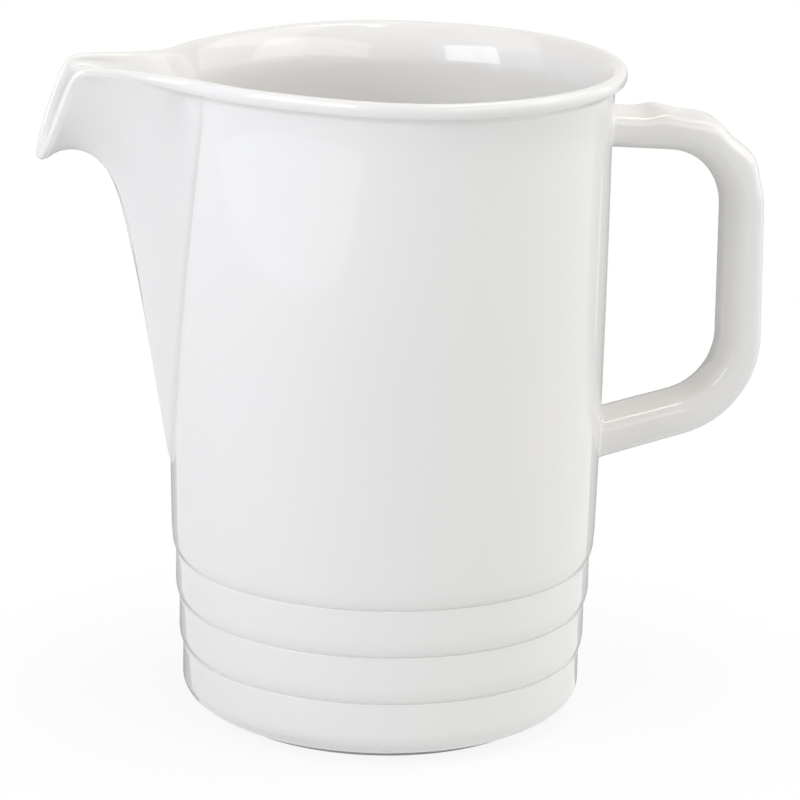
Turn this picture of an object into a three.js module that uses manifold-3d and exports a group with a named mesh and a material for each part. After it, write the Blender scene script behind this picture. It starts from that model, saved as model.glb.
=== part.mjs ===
// Milk jug of glazed white porcelain: a round body with three stepped bands, a deep V spout with a
// curled drip lip, and a strap handle with thumb ridges. Millimetres, +Z up, spout to -X, handle to +X.
// The origin lies on the table, midway between the tip of the spout and the back of the handle.

import * as THREE from 'three';
import { mergeVertices } from 'three/addons/utils/BufferGeometryUtils.js';
import Module from 'manifold-3d';

const wasm = await Module();
wasm.setup();

// Body: the wall, its bands, heel, foot and floor
const bodyHeight = 156;          // table to the crest of the rim
const wallRadius = 50;           // outer radius just above the top groove
const wallSwell = 1.1;           // how much wider the wall is near the rim
const swellEase = 3;             // 1 is a straight taper, more brings the swell lower down
const wallThickness = 3.6;
const bandCount = 3;
const bandPitch = 11.5;
const bandStep = 0.93;           // each band is this much smaller in radius than the one above
const bandRound = 4.5;           // height over which a band rounds in to the groove below it
const grooveDepth = 0.16;        // the groove goes this much deeper than the band below it
const lowestGroove = 15.5;       // height of the lowest groove
const heelReach = 12.5;          // rounding under the lowest band, inwards
const heelRise = 7.2;            // and upwards
const footRadius = 38.6;
const footHeight = 1.1;          // level where the rounding would run out, had it no foot to end on
const footWidth = 4;
const baseHollow = 1.4;          // the base inside the foot ring lies this much above the table
const floorThickness = 4.4;
const floorRound = 9;            // rounding between the floor and the inner wall

// Rim: a flared lip with a round edge
const rimFlare = 3;              // how far the rim stands out from the wall
const rimDrop = 5;               // where the flare leaves the wall, below the crest
const rimInnerDrop = 9;          // where it leaves the inner wall, below the crest
const rimEdgeRadius = 1.15;
const rimUnderAngle = 36;        // degrees of the round edge below its outermost point
const rimInnerAngle = 60;        // degrees of the round edge past the crest, on the inside

// Pinch: beside the spout the upper wall is drawn in, so that the mouth is drop-shaped seen from above
const pinchDepth = 3.2;
const pinchAngle = 54;           // degrees from the spout to the deepest place, on either side
const pinchSpread = 45;          // degrees from there to where the pinch ends
const pinchDrop = 62;            // the pinch fades out this far below the rim

// Spout: reaches are measured out from the wall at the rim, drops down from the crest of the rim
const spoutRootDrop = 94;        // lowest point of the spout
const seamHalfWidth = 19.8;      // half the width of the spout where it meets the rim
const seamFullness = 0.725;      // of the leaf-shaped seam on the wall, 0.5 is a plain wedge
const keelRootProud = 0.5;       // how far the keel stands off the wall at its root
const keelBendReach = 9.6;       // where the straight keel starts to curve out
const keelBendDrop = 41;
const keelCrestReach = 23.6;     // where the underside is level, before the drip lip
const keelCrestDrop = 19;
const tipReach = 31.2;           // the drip lip
const tipDrop = 20.9;
const topEdgeBendReach = 1.1;    // the level top edge swings out of the rim here
const topEdgeBendHalfWidth = 15.8;
const topEdgeRunReach = 9.1;     // and runs on here
const topEdgeRunHalfWidth = 13;
const lipCornerReach = 23.6;     // where the top edge turns down into the lip
const lipCornerRise = 1;         // the corner stands this much above the rim
const lipCornerHalfWidth = 8.9;
const lipCornerRound = 3.5;
const lipHalfWidth = 7.6;        // of the pouring mouth, below the corner
const lipBulge = 0.7;            // the edge of the lip bows out this much
const lipTipHalfWidth = 0.9;
const spoutThickness = 3.2;
const lipThickness = 1.9;
const flankFullness = 0.7;       // of the spout's section, 0 is a sharp V and 1 a full U
const channelFullness = 1;       // of the channel's section
const channelLeast = 0.8;        // the channel starts where its half width reaches this
const keelAtRim = 0.77;          // share of the keel's length that lies below the seam
const keelAtCorner = 0.9;        // share of the keel's length that lies behind the lip

// Handle: a strap that runs out, down and back to the wall
const handleTopDrop = 16.4;      // middle of the upper root, below the crest of the rim
const handleTopFall = 2.2;       // the upper arm falls this much to the back
const handleReach = 33.4;        // from the wall to the middle of the strap
const handleLean = 0.9;          // the back of the handle stands out this much more below
const handleLowDrop = 90.8;      // middle of the lower root, below the crest of the rim
const handleLowRise = 8.4;       // the lower arm rises this much to the back
const upperBendRadius = 17;
const lowerBendRadius = 22;
const strapWidthTop = 16;
const strapWidthLow = 14.2;
const strapThicknessTop = 9.1;
const strapThicknessLow = 10.8;
const strapEase = 2;             // 1 thickens the strap evenly, more brings that lower down
const strapSquareness = 3.2;     // 2 is an oval section, larger is squarer
const ridgeCount = 3;
const ridgePitch = 11;
const ridgeHeight = 0.9;
const ridgeStart = 12;           // first ridge, along the strap from the wall

// Slip that joins the pieces
const seamBed = 0.7;             // thickness of the bed under the spout
const jointBed = 1.7;            // thickness of the collars at the handle's roots
const jointFillet = 1.2;         // how far the collars spread on the wall
const clearance = 0.3;           // left between pieces that lie against each other

// Fineness
const bodySides = 56;
const wallSteps = 6;
const arcSteps = 4;
const bandSteps = 3;
const seamSteps = 15;
const edgeSteps = 9;
const lipSteps = 9;
const flankSteps = 6;
const strapSides = 18;
const strapStep = 2;
const overshoot = 6;             // how far a cutting solid runs past what it cuts

// Where the control points of the curves lie, as shares of their runs
const roundLead = 1 / 3;         // of the roundings of the bands and of the rim's inside
const flankLead = 1 / 6;         // of the spout's flanks, from the keel
const lipUpperLead = 1 / 3;      // of the lip, from its corner
const lipLowerLead = 4 / 5;

// Sizes that follow from those above
const wallFoot = lowestGroove + (bandCount - 1) * bandPitch;
const rimFoot = bodyHeight - rimDrop;
const floorHeight = baseHollow + floorThickness;
const lowestRadius = wallRadius - bandCount * bandStep;
const rimWall = wallRadius + wallSwell;
const rimEdge = new THREE.Vector2(rimWall + rimFlare - rimEdgeRadius, bodyHeight - rimEdgeRadius);
const spoutRoot = bodyHeight - spoutRootDrop;
const { lerp, clamp, degToRad, radToDeg, smoothstep } = THREE.MathUtils;

function wallOuter(z) {
  const share = clamp((z - wallFoot) / (rimFoot - wallFoot), 0, 1);
  return wallRadius + wallSwell * (1 - (1 - share) ** swellEase);
}

// Share of the radius that the pinch leaves, at a point of a round wall
function pinch(x, y, z) {
  const angle = radToDeg(Math.atan2(Math.abs(y), -x));
  const turn = clamp((angle - pinchAngle) / pinchSpread, -1, 1);
  const height = smoothstep(z, bodyHeight - pinchDrop, bodyHeight);
  return 1 - (pinchDepth / wallRadius) * height * (1 + Math.cos(Math.PI * turn)) / 2;
}

// Solids: closed meshes that can be cut and joined

function solidOf(geometry) {
  geometry.deleteAttribute('normal');
  geometry.deleteAttribute('uv');
  const merged = mergeVertices(geometry);
  const corners = merged.index.array;
  const triangles = [];
  for (let i = 0; i < corners.length; i += 3) {
    const [a, b, c] = corners.slice(i, i + 3);
    if (a !== b && b !== c && c !== a) triangles.push(a, b, c);
  }
  return new wasm.Manifold(new wasm.Mesh({
    numProp: 3,
    vertProperties: new Float32Array(merged.attributes.position.array),
    triVerts: new Uint32Array(triangles),
  }));
}

function meshOf(name, solid) {
  const { vertProperties, triVerts } = solid.getMesh();
  const geometry = new THREE.BufferGeometry();
  geometry.setAttribute('position', new THREE.BufferAttribute(vertProperties, 3));
  geometry.setIndex(new THREE.BufferAttribute(triVerts, 1));
  geometry.computeVertexNormals();
  const porcelain = new THREE.MeshStandardMaterial({ color: 0xe9e8e6, roughness: 0.12, metalness: 0 });
  const mesh = new THREE.Mesh(geometry, porcelain);
  mesh.name = name;
  return mesh;
}

// A solid of revolution about +Z, from points of radius and height, pinched beside the spout
function revolve(points) {
  const geometry = new THREE.LatheGeometry(points, bodySides);
  geometry.rotateX(Math.PI / 2);
  const place = geometry.attributes.position;
  for (let i = 0; i < place.count; i += 1) {
    const share = pinch(place.getX(i), place.getY(i), place.getZ(i));
    place.setXY(i, place.getX(i) * share, place.getY(i) * share);
  }
  return solidOf(geometry);
}

// A solid through closed loops that all have as many points, capped at both ends
function loft(loops, turn = 0) {
  const count = loops[0].length;
  const start = loops.length * count;
  const last = start - count;
  const index = [];
  for (let j = 0; j < count; j += 1) {
    const k = (j + 1) % count;
    for (let row = 0; row < last; row += count) {
      index.push(row + j, row + k, row + count + k);
      index.push(row + j, row + count + k, row + count + j);
    }
    index.push(start, k, j);
    index.push(start + 1, last + j, last + k);
  }
  const points = [...loops.flat(), centreOf(loops[0]), centreOf(loops[loops.length - 1])];
  const geometry = new THREE.BufferGeometry().setFromPoints(points);
  geometry.setIndex(index);
  geometry.rotateZ(turn);
  return solidOf(geometry);
}

function centreOf(loop) {
  const sum = new THREE.Vector3();
  loop.forEach((point) => sum.add(point));
  return sum.divideScalar(loop.length);
}

// Profiles: points of radius and height

const at = (radius, height) => new THREE.Vector2(radius, height);

function bend(from, control, to, steps = arcSteps) {
  return new THREE.QuadraticBezierCurve(from, control, to).getPoints(steps);
}

function arc(centre, reach, rise, from, to, steps = arcSteps) {
  return new THREE.EllipseCurve(centre.x, centre.y, reach, rise, from, to, to < from).getPoints(steps);
}

// The outside from the heel up to the crest of the rim, grown outwards by a margin
function outerProfile(margin) {
  const heelCentre = at(lowestRadius - heelReach, footHeight + heelRise);
  const heelStart = -Math.acos((footRadius - heelCentre.x) / heelReach);
  const points = arc(heelCentre, heelReach + margin, heelRise, heelStart, 0);
  for (let step = bandCount; step > 0; step -= 1) {
    const groove = lowestGroove + (bandCount - step) * bandPitch;
    const below = wallRadius - step * bandStep + margin;
    const above = below + bandStep;
    const crease = at(below - grooveDepth, groove);
    const control = at(above, groove + bandRound * roundLead);
    points.push(at(below, groove - grooveDepth));
    points.push(...bend(crease, control, at(above, groove + bandRound), bandSteps));
  }
  for (let step = 1; step <= wallSteps; step += 1) {
    const z = lerp(wallFoot + bandRound, rimFoot, step / wallSteps);
    points.push(at(wallOuter(z) + margin, z));
  }
  const edgeRadius = rimEdgeRadius + margin;
  const edge = arc(rimEdge, edgeRadius, edgeRadius, -degToRad(rimUnderAngle), Math.PI / 2);
  const flareStart = points[points.length - 1];
  const flareControl = at(flareStart.x, (flareStart.y + edge[0].y) / 2);
  points.push(...bend(flareStart, flareControl, edge[0]).slice(1, -1), ...edge);
  return points;
}

// The inside from the crest of the rim down to the middle of the floor
function innerProfile() {
  const turnEnd = Math.PI / 2 + degToRad(rimInnerAngle);
  const points = arc(rimEdge, rimEdgeRadius, rimEdgeRadius, Math.PI / 2, turnEnd).slice(1);
  const flareEnd = at(rimWall - wallThickness, bodyHeight - rimInnerDrop);
  const flareControl = at(flareEnd.x, bodyHeight - rimInnerDrop * roundLead);
  points.push(...bend(points[points.length - 1], flareControl, flareEnd).slice(1));
  for (let step = 1; step <= wallSteps; step += 1) {
    const z = lerp(flareEnd.y, wallFoot, step / wallSteps);
    points.push(at(wallOuter(z) - wallThickness, z));
  }
  const roundCentre = at(lowestRadius - wallThickness - floorRound, floorHeight + floorRound);
  points.push(...arc(roundCentre, floorRound, floorRound, 0, -Math.PI / 2));
  points.push(at(0, floorHeight));
  return points;
}

function bodyShell() {
  const footInside = footRadius - footWidth;
  const foot = [
    at(0, baseHollow),
    at(footInside - baseHollow, baseHollow),
    at(footInside, 0),
    at(footRadius, 0),
  ];
  return revolve([...foot, ...outerProfile(0), ...innerProfile()]);
}

// All the space out to the wall and a margin past it, to fit pieces against the wall
function wallSpace(margin) {
  const outside = outerProfile(margin);
  const above = bodyHeight + overshoot;
  return revolve([at(0, footHeight), ...outside, at(rimEdge.x, above), at(0, above)]);
}

// Spout, drawn with x out from the body's axis and y across

const spot = (reach, halfWidth, drop) => new THREE.Vector3(rimWall + reach, halfWidth, bodyHeight - drop);

function seamPoint(share) {
  const z = lerp(spoutRoot, bodyHeight, share);
  const halfWidth = seamHalfWidth * (2 * share * (1 - share) * seamFullness + share * share);
  const reach = Math.sqrt(wallOuter(z) ** 2 - halfWidth ** 2);
  const drawnIn = pinch(-reach, halfWidth, z);
  return new THREE.Vector3(reach * drawnIn, halfWidth * drawnIn, z);
}

// The keel: a straight run up, a curve out, and the droop of the drip lip
function keelPath() {
  const root = new THREE.Vector3(wallOuter(spoutRoot) + keelRootProud, 0, spoutRoot);
  const bendStart = spot(keelBendReach, 0, keelBendDrop);
  const crest = spot(keelCrestReach, 0, keelCrestDrop);
  const tip = spot(tipReach, 0, tipDrop);
  const climb = (crest.z - root.z) / (bendStart.z - root.z);
  const bendControl = new THREE.Vector3(lerp(root.x, bendStart.x, climb), 0, crest.z);
  const droopControl = new THREE.Vector3((crest.x + tip.x) / 2, 0, crest.z);
  const path = new THREE.CurvePath();
  path.add(new THREE.LineCurve3(root, bendStart));
  path.add(new THREE.QuadraticBezierCurve3(bendStart, bendControl, crest));
  path.add(new THREE.QuadraticBezierCurve3(crest, droopControl, tip));
  return path;
}

// The level top edge, from the rim to the corner of the lip
function topEdgeCurve() {
  const bendPoint = spot(topEdgeBendReach, topEdgeBendHalfWidth, 0);
  const runPoint = spot(topEdgeRunReach, topEdgeRunHalfWidth, -lipCornerRise);
  return new THREE.CubicBezierCurve3(seamPoint(1), bendPoint, runPoint, lipCornerStart());
}

const lipCornerStart = () => spot(lipCornerReach - lipCornerRound, lipCornerHalfWidth, -lipCornerRise);

// The edge of the lip, round the corner and down to the tip
function lipPath() {
  const start = lipCornerStart();
  const corner = spot(lipCornerReach, (lipCornerHalfWidth + lipHalfWidth) / 2, -lipCornerRise);
  const tip = spot(tipReach, lipTipHalfWidth, tipDrop);
  const down = tip.clone().sub(corner).setY(0).setLength(lipCornerRound);
  const end = corner.clone().add(down).setY(lipHalfWidth);
  const path = new THREE.CurvePath();
  path.add(new THREE.QuadraticBezierCurve3(start, corner, end));
  const bow = new THREE.Vector3(lipBulge, 0, 0);
  const upper = end.clone().lerp(tip, lipUpperLead).setY(lipHalfWidth).add(bow);
  const lower = end.clone().lerp(tip, lipLowerLead).setY(lipHalfWidth).add(bow);
  path.add(new THREE.CubicBezierCurve3(end, upper, lower, tip));
  return path;
}

// One side of a section, from the keel out to the edge
function flank(keel, edge, fullness) {
  const control = keel.clone().lerp(edge, flankLead).setY(edge.y * fullness);
  return new THREE.QuadraticBezierCurve3(keel, control, edge).getPoints(flankSteps);
}

// A closed section: one side, the other side, and the extra points that close it
function section(keel, edge, closing, fullness) {
  const side = [...flank(keel, edge, fullness), closing];
  const mirrored = side.slice(1).map((point) => new THREE.Vector3(point.x, -point.y, point.z));
  return [...mirrored.reverse(), ...side];
}

function towardsAxis(point, distance) {
  const radius = Math.hypot(point.x, point.y);
  const share = (radius - distance) / radius;
  return new THREE.Vector3(point.x * share, point.y * share, point.z);
}

// The spout as a solid, with its back inside the wall
function spoutHull() {
  const keel = keelPath();
  const topEdge = topEdgeCurve();
  const lip = lipPath();
  const loops = [];
  const addLoop = (along, edge, closing) => {
    loops.push(section(keel.getPointAt(along), edge, closing, flankFullness));
  };
  for (let step = 1; step <= seamSteps; step += 1) {
    const share = step / seamSteps;
    const edge = seamPoint(share);
    addLoop(share * keelAtRim, edge, towardsAxis(edge, overshoot));
  }
  const level = (edge) => new THREE.Vector3(edge.x, edge.y / 2, edge.z);
  for (let step = 1; step <= edgeSteps; step += 1) {
    const share = step / edgeSteps;
    const edge = topEdge.getPoint(share);
    addLoop(lerp(keelAtRim, keelAtCorner, share), edge, level(edge));
  }
  for (let step = 1; step <= lipSteps; step += 1) {
    const share = step / lipSteps;
    const edge = lip.getPointAt(share);
    addLoop(lerp(keelAtCorner, 1, share), edge, level(edge));
  }
  return loft(loops, Math.PI);
}

// The channel inside the spout, from the cavity of the body out past the lip
function spoutChannel() {
  const keel = keelPath();
  const topEdge = topEdgeCurve();
  const thickness = (share) => lerp(spoutThickness, lipThickness, share);
  const channelFloor = (share, inset) => {
    const tangent = keel.getTangentAt(share);
    return keel.getPointAt(share).add(new THREE.Vector3(-tangent.z * inset, 0, tangent.x * inset));
  };
  const narrowed = (edge, inset) => new THREE.Vector3(edge.x, edge.y - inset, edge.z);
  const raised = (edge) => new THREE.Vector3(edge.x, edge.y, edge.z + overshoot);
  const loops = [];
  for (let step = 1; step <= seamSteps; step += 1) {
    const share = step / seamSteps;
    const edge = narrowed(seamPoint(share), spoutThickness);
    if (edge.y < channelLeast) continue;
    const floor = channelFloor(share * keelAtRim, spoutThickness);
    loops.push(section(floor, edge, towardsAxis(edge, wallThickness + overshoot), channelFullness));
  }
  for (let step = 1; step <= edgeSteps; step += 1) {
    const share = step / edgeSteps;
    const edge = narrowed(topEdge.getPoint(share), thickness(share));
    const floor = channelFloor(lerp(keelAtRim, keelAtCorner, share), thickness(share));
    loops.push(section(floor, edge, raised(edge), channelFullness));
  }
  const corner = narrowed(lipCornerStart(), lipThickness);
  const lastFloor = channelFloor(keelAtCorner, lipThickness);
  const outEdge = spot(tipReach + overshoot, lipHalfWidth - lipThickness, -lipCornerRise);
  const tipFloor = channelFloor(1, lipThickness);
  const outFloor = tipFloor.clone().addScaledVector(keel.getTangentAt(1), overshoot);
  const droop = new THREE.QuadraticBezierCurve3(lastFloor, tipFloor, outFloor);
  for (let step = 1; step <= arcSteps; step += 1) {
    const share = step / arcSteps;
    const edge = corner.clone().lerp(outEdge, share);
    loops.push(section(droop.getPoint(share), edge, raised(edge), channelFullness));
  }
  return loft(loops, Math.PI);
}

// Handle, drawn in the plane of x and z

// Straight runs through the points, with round bends at the inner ones
function roundedPath(points, radii) {
  const path = new THREE.Path();
  path.moveTo(points[0].x, points[0].y);
  radii.forEach((radius, i) => {
    const corner = points[i + 1];
    const back = points[i].clone().sub(corner).normalize();
    const on = points[i + 2].clone().sub(corner).normalize();
    const half = Math.acos(back.dot(on)) / 2;
    const centre = back.clone().add(on).setLength(radius / Math.sin(half)).add(corner);
    const run = radius / Math.tan(half);
    const start = corner.clone().addScaledVector(back, run);
    const from = start.clone().sub(centre);
    const to = corner.clone().addScaledVector(on, run).sub(centre);
    path.lineTo(start.x, start.y);
    path.absarc(centre.x, centre.y, radius, from.angle(), to.angle(), true);
  });
  const end = points[points.length - 1];
  path.lineTo(end.x, end.y);
  return path;
}

const upperRoot = at(wallOuter(bodyHeight - handleTopDrop), bodyHeight - handleTopDrop);
const upperCorner = at(rimWall + handleReach, upperRoot.y - handleTopFall);
const lowerRoot = at(wallOuter(bodyHeight - handleLowDrop), bodyHeight - handleLowDrop);
const lowerCorner = at(upperCorner.x + handleLean, lowerRoot.y + handleLowRise);
const strapCorners = [upperRoot, upperCorner, lowerCorner, lowerRoot];
const strapPath = roundedPath(strapCorners, [upperBendRadius, lowerBendRadius]);
const strapLength = strapPath.getLength();

// Height of the thumb ridges at a distance along the strap
function ridgeRise(distance) {
  const turn = (distance - ridgeStart) / ridgePitch;
  if (turn < -0.5 || turn > ridgeCount - 0.5) return 0;
  return ridgeHeight * (1 + Math.cos(2 * Math.PI * turn)) / 2;
}

// The strap's section at a distance from the upper root, also a little past either root
function strapLoop(distance, growth = 0) {
  const share = clamp(distance / strapLength, 0, 1);
  const tangent = strapPath.getTangentAt(share);
  const place = strapPath.getPointAt(share).addScaledVector(tangent, distance - share * strapLength);
  const halfWidth = lerp(strapWidthTop, strapWidthLow, share) / 2 + growth;
  const halfThickness = lerp(strapThicknessTop, strapThicknessLow, share ** strapEase) / 2 + growth;
  const loop = [];
  for (let side = 0; side < strapSides; side += 1) {
    const angle = (2 * Math.PI * side) / strapSides;
    const squared = (value) => Math.sign(value) * Math.abs(value) ** (2 / strapSquareness);
    const y = halfWidth * squared(Math.cos(angle));
    const ridge = ridgeRise(distance) * Math.max(0, squared(Math.sin(angle)));
    const out = halfThickness * squared(Math.sin(angle)) + ridge;
    loop.push(new THREE.Vector3(place.x - tangent.y * out, y, place.y + tangent.x * out));
  }
  return loop;
}

function strapSolid() {
  const loops = [];
  const steps = Math.ceil((strapLength + 2 * overshoot) / strapStep);
  for (let step = 0; step <= steps; step += 1) {
    loops.push(strapLoop(lerp(-overshoot, strapLength + overshoot, step / steps)));
  }
  return loft(loops);
}

// A collar of slip round a root of the handle, spreading where it meets the wall
function rootCollar(root, inwards) {
  const loops = [];
  const run = clearance + jointBed;
  for (let step = -1; step <= arcSteps; step += 1) {
    const share = step / arcSteps;
    const spread = jointFillet * (1 - Math.max(share, 0)) ** 2;
    const out = step < 0 ? -overshoot : share * run;
    loops.push(strapLoop(root - inwards * out, spread));
  }
  loops.push(strapLoop(root - inwards * (run + overshoot)));
  const solid = loft(inwards > 0 ? loops.reverse() : loops);
  return solid.intersect(wallSpace(run)).subtract(wallSpace(clearance));
}

// The jug

const channel = spoutChannel();
const spoutShell = spoutHull().subtract(channel);
const seamTop = clearance + seamBed;
const body = bodyShell().subtract(channel);
const spout = spoutShell.subtract(wallSpace(seamTop + clearance));
const seam = spoutShell.intersect(wallSpace(seamTop)).subtract(wallSpace(clearance));
const handle = strapSolid().subtract(wallSpace(clearance + jointBed + clearance));

const jug = new THREE.Group();
jug.add(meshOf('body', body));
jug.add(meshOf('spout', spout));
jug.add(meshOf('spout_slip_seam', seam));
jug.add(meshOf('handle', handle));
jug.add(meshOf('upper_handle_slip_joint', rootCollar(0, -1)));
jug.add(meshOf('lower_handle_slip_joint', rootCollar(strapLength, 1)));

const extent = new THREE.Box3().setFromObject(jug);
jug.position.x = -(extent.min.x + extent.max.x) / 2;
jug.updateMatrixWorld(true);

export default jug;
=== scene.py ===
import math

import bmesh
import bpy
import numpy as np
from mathutils import Matrix, Vector


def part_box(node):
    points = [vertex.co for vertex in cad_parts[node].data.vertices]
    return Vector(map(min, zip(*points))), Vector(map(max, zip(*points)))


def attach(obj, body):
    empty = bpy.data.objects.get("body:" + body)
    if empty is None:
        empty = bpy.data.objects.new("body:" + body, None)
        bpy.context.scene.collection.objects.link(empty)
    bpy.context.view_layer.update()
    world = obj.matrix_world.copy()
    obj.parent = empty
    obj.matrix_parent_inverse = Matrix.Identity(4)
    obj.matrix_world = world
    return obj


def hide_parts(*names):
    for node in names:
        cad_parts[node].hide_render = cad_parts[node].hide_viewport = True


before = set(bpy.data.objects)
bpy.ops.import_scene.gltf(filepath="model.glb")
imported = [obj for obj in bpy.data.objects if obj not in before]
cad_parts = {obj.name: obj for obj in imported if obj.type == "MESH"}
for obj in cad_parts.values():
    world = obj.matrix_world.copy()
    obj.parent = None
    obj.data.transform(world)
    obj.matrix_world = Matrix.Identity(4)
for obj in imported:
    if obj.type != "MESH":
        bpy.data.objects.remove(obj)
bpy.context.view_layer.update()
mm = 0.001
mergeDistance = 2e-6  # in metres, as Blender measures
leastEdge = 1e-7
lateral = np.array([0.0, 1.0, 0.0])
mirrorAcross = np.array([1, -1, 1])  # turns one side of the spout into the other

# Frame: spout towards -X, handle towards +X. The pieces are worked out round the body's axis in mm,
# with s running out towards the spout, y across and z up from the table.


def blend(start, end, share):
    return start + (end - start) * share


def ease(value, low, high):
    share = np.clip((np.asarray(value, float) - low) / (high - low), 0, 1)
    return share * share * (3 - 2 * share)


def riseAndFall(share, risen, falling):
    # 0 at both ends, 1 from risen to falling
    return ease(share, 0, risen) * (1 - ease(share, falling, 1.0))


def unit(vectors):
    return vectors / np.linalg.norm(vectors, axis=-1, keepdims=True)


def onMidPlane(flat):
    # points or directions that are given as (s, z)
    return np.stack([flat[..., 0], 0 * flat[..., 0], flat[..., 1]], axis=-1)


def weighted(weights, controls):
    return sum(np.multiply.outer(w, np.asarray(c, float)) for w, c in zip(weights, controls))


def bezier(controls, steps):
    # curve over 3 or 4 controls, the controls may be whole stacks of points
    t = np.linspace(0, 1, steps + 1)
    degree = len(controls) - 1
    weights = [math.comb(degree, i) * t ** i * (1 - t) ** (degree - i) for i in range(degree + 1)]
    return weighted(weights, controls)


def spline(controls, steps):
    # clamped cubic B-spline, from the first control to the last
    count = len(controls)
    knots = np.concatenate([np.zeros(3), np.linspace(0, 1, count - 2), np.ones(3)])
    t = np.linspace(0, 1, steps + 1)
    basis = [((knots[i] <= t) & (t < knots[i + 1])).astype(float) for i in range(count + 3)]
    basis[count - 1][-1] = 1
    for degree in (1, 2, 3):
        raised = []
        for i in range(count + 3 - degree):
            up = knots[i + degree] - knots[i]
            down = knots[i + degree + 1] - knots[i + 1]
            rise = (t - knots[i]) / up * basis[i] if up > 0 else 0 * t
            fall = (knots[i + degree + 1] - t) / down * basis[i + 1] if down > 0 else 0 * t
            raised.append(rise + fall)
        basis = raised
    return weighted(basis, controls)


def pathLengths(path):
    return np.concatenate([[0], np.cumsum(np.linalg.norm(np.diff(path, axis=0), axis=1))])


def pointsAt(path, distances):
    lengths = pathLengths(path)
    return np.stack([np.interp(distances, lengths, axis) for axis in path.T], axis=-1)


def alongPath(path, shares):
    return pointsAt(path, shares * pathLengths(path)[-1])


def gridFaces(start, rows, columns):
    # quads over points that are stored row by row from index start
    faces = []
    for row in range(rows - 1):
        for column in range(columns - 1):
            a = start + row * columns + column
            faces.append((a, a + 1, a + columns + 1, a + columns))
    return faces


def capFaces(loop):
    # closes a thin section with slices from one side to the other
    faces = []
    low, high = 0, len(loop) - 1
    while high - low > 1:
        faces.append(tuple(dict.fromkeys((loop[low], loop[low + 1], loop[high - 1], loop[high]))))
        low, high = low + 1, high - 1
    return faces


def putInScene(name, data):
    placed = bpy.data.objects.new(name, data)
    bpy.context.scene.collection.objects.link(placed)
    return placed


def finishMesh(mesh, sharpAngle):
    # joins seams and poles, drops faces without area, turns normals outward
    bm = bmesh.new()
    bm.from_mesh(mesh)
    bmesh.ops.remove_doubles(bm, verts=bm.verts, dist=mergeDistance)
    bmesh.ops.dissolve_degenerate(bm, edges=bm.edges, dist=leastEdge)
    bmesh.ops.recalc_face_normals(bm, faces=bm.faces)
    openEdges = sum(1 for edge in bm.edges if not edge.is_manifold)
    bm.to_mesh(mesh)
    bm.free()
    mesh.shade_smooth()
    mesh.set_sharp_from_angle(angle=math.radians(sharpAngle))
    print(mesh.name, "faces", len(mesh.polygons), "open edges", openEdges)


def addPiece(name, points, faces, material, sharpAngle):
    # points come in mm round the body's axis, with the spout towards +s
    flat = np.asarray(points, float).reshape(-1, 3)
    placed = np.column_stack([bodyAxis - flat[:, 0], flat[:, 1], flat[:, 2]]) * mm
    mesh = bpy.data.meshes.new(name)
    mesh.from_pydata(placed.tolist(), [], faces)
    finishMesh(mesh, sharpAngle)
    mesh.materials.append(material)
    return putInScene(name, mesh)


def hexToLinear(code):
    channels = [int(code[i:i + 2], 16) / 255 for i in (1, 3, 5)]
    return tuple(c / 12.92 if c <= 0.04045 else ((c + 0.055) / 1.055) ** 2.4 for c in channels) + (1.0,)


def addNode(tree, kind, settings=None, inputs=None):
    # inputs: socket name or number -> a value, or an output socket to link from;
    # hands back the node's outputs
    node = tree.nodes.new(kind)
    for key, value in (settings or {}).items():
        setattr(node, key, value)
    for key, value in (inputs or {}).items():
        socket = node.inputs[key]
        if isinstance(value, bpy.types.NodeSocket):
            tree.links.new(value, socket)
        else:
            socket.default_value = value
    return node.outputs


# What the maths nodes are set to

sums = "ShaderNodeMath"
vectors = "ShaderNodeVectorMath"
add = {"operation": "ADD"}
take = {"operation": "SUBTRACT"}
times = {"operation": "MULTIPLY"}
timesAdd = {"operation": "MULTIPLY_ADD"}
divide = {"operation": "DIVIDE"}
power = {"operation": "POWER"}
greater = {"operation": "GREATER_THAN"}
lesser = {"operation": "LESS_THAN"}
larger = {"operation": "MAXIMUM"}
sine = {"operation": "SINE"}
cosine = {"operation": "COSINE"}
absolute = {"operation": "ABSOLUTE"}
signOf = {"operation": "SIGN"}

# Materials

glaze = {
    "white": "#eae8e4",
    "whiteThick": "#e7e6e3",
    "patchSize": 45.0,
    "patchRange": (0.3, 0.7),
    "gloss": 0.03,
    "glossDull": 0.06,
    "waveSize": 16.0,
    "waveHeight": 0.02,
    "ior": 1.5,
}


def startMaterial(name):
    material = bpy.data.materials.new(name)
    material.use_nodes = True
    tree = material.node_tree
    return material, tree, tree.nodes["Principled BSDF"]


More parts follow.
